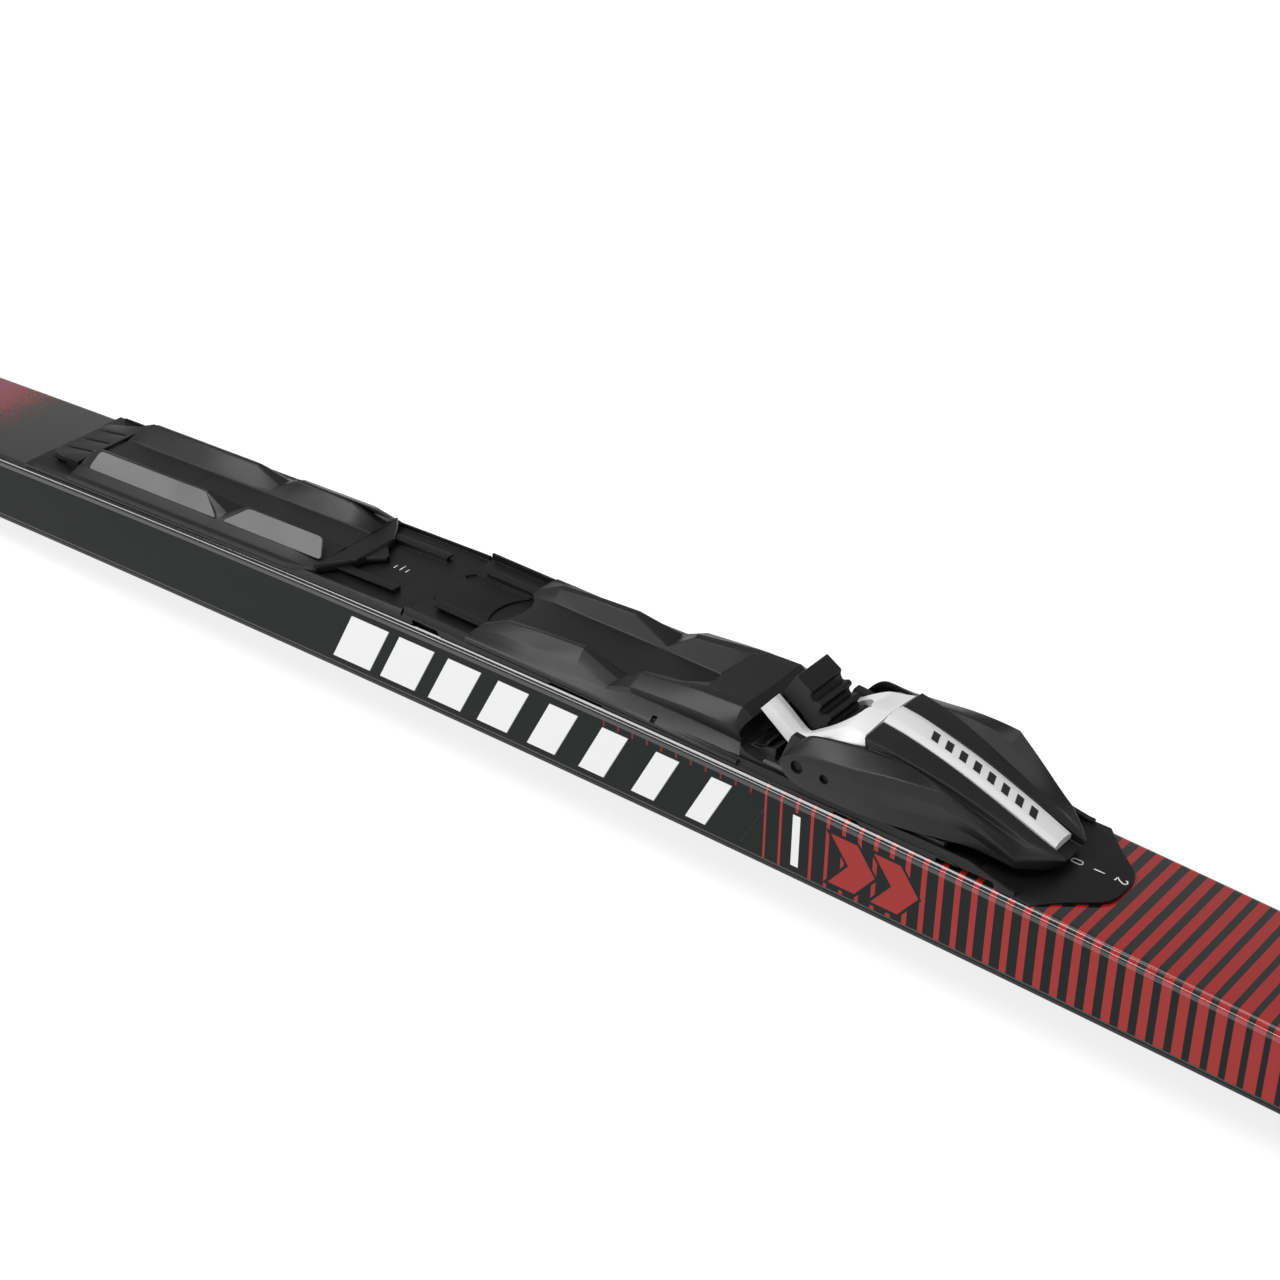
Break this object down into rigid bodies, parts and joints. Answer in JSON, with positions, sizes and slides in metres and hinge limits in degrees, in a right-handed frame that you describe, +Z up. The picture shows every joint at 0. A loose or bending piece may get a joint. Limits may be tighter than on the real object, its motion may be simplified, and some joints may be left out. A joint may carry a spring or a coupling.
{
  "type": "cross country ski",
  "caption": "Slim cambered cross-country ski with a sliding toe binding, lifting front lever, rubber flexor, boot guide ridges and an adjustable heel plate.",
  "frame": {"origin": "under the middle of the ski, on the surface it stands on", "axes": "+X towards the tip, +Y left, +Z up"},
  "size_m": [1.87, 0.0474, 0.0754],
  "materials": {
    "base": "ground sintered polyethylene",
    "laminate": "carbon laminate",
    "core": "honeycomb and wood core",
    "sidewall": "satin printed sidewall",
    "cap": "printed satin cap with glossy rounded edges",
    "guard": "moulded plastic",
    "plate": "black moulded plastic",
    "housing": "black moulded plastic, fine grain",
    "frame_white": "white moulded plastic",
    "flexor_rubber": "black rubber",
    "lever": "black moulded plastic",
    "strip_white": "white moulded plastic",
    "steel": "hardened steel",
    "spring_steel": "spring steel",
    "grip": "grey ribbed grip"
  },
  "bodies": {
    "ski": {"base_sole": "base", "lower_laminate": "laminate", "core": "core", "upper_laminate": "laminate", "sidewall_left": "sidewall", "sidewall_right": "sidewall", "cap": "cap", "tip_guard": "guard", "tail_guard": "guard", "mounting_plate": "plate"},
    "toe_unit": {"boot_guide": "housing", "toe_chassis": "housing", "bar_seat": "steel", "toe_frame": "frame_white", "flexor": "flexor_rubber", "jaw_spring": "spring_steel", "spring_stop": "steel", "lever_pivot_pins": "steel", "latch_spring": "spring_steel", "latch_bridge": "steel"},
    "lever": {"lever": "lever", "lever_strip": "strip_white", "jaw_crank": "steel", "lever_detent_pins": "steel"},
    "jaw": {"jaw": "steel"},
    "position_latch": {"position_latch": "steel"},
    "heel_unit": {"heel_body": "housing", "grip_pads_left": "grip", "grip_pads_right": "grip", "tab_pin": "steel"},
    "heel_tab": {"heel_release_tab": "housing"}
  },
  "joints": [
    {"name": "toe_position", "type": "slide", "parent": "ski", "child": "toe_unit", "axis": [1, 0, 0], "range_m": [0, 0.014]},
    {"name": "lever_hinge", "type": "hinge", "parent": "toe_unit", "child": "lever", "pos_m": [-0.0407, 0, 0.0576], "axis": [0, -1, 0], "range_deg": [0, 60]},
    {"name": "jaw_slide", "type": "slide", "parent": "toe_unit", "child": "jaw", "axis": [1, 0, 0], "range_m": [0, 0.00401], "deforming": ["jaw_spring"]},
    {"name": "latch_drop", "type": "slide", "parent": "toe_unit", "child": "position_latch", "axis": [0, 0, 1], "range_m": [-0.001, 0], "deforming": ["latch_spring"]},
    {"name": "heel_position", "type": "slide", "parent": "ski", "child": "heel_unit", "axis": [0.9989, 0, 0.0469], "range_m": [-0.012, 0.012]},
    {"name": "heel_tab_lift", "type": "hinge", "parent": "heel_unit", "child": "heel_tab", "pos_m": [-0.30102, 0, 0.04551], "axis": [0, 1, 0], "range_deg": [0, 8]}
  ],
  "couplings": [
    {"joint": "jaw_slide", "follows": "lever_hinge", "m_per_rad": 0.003639}
  ]
}
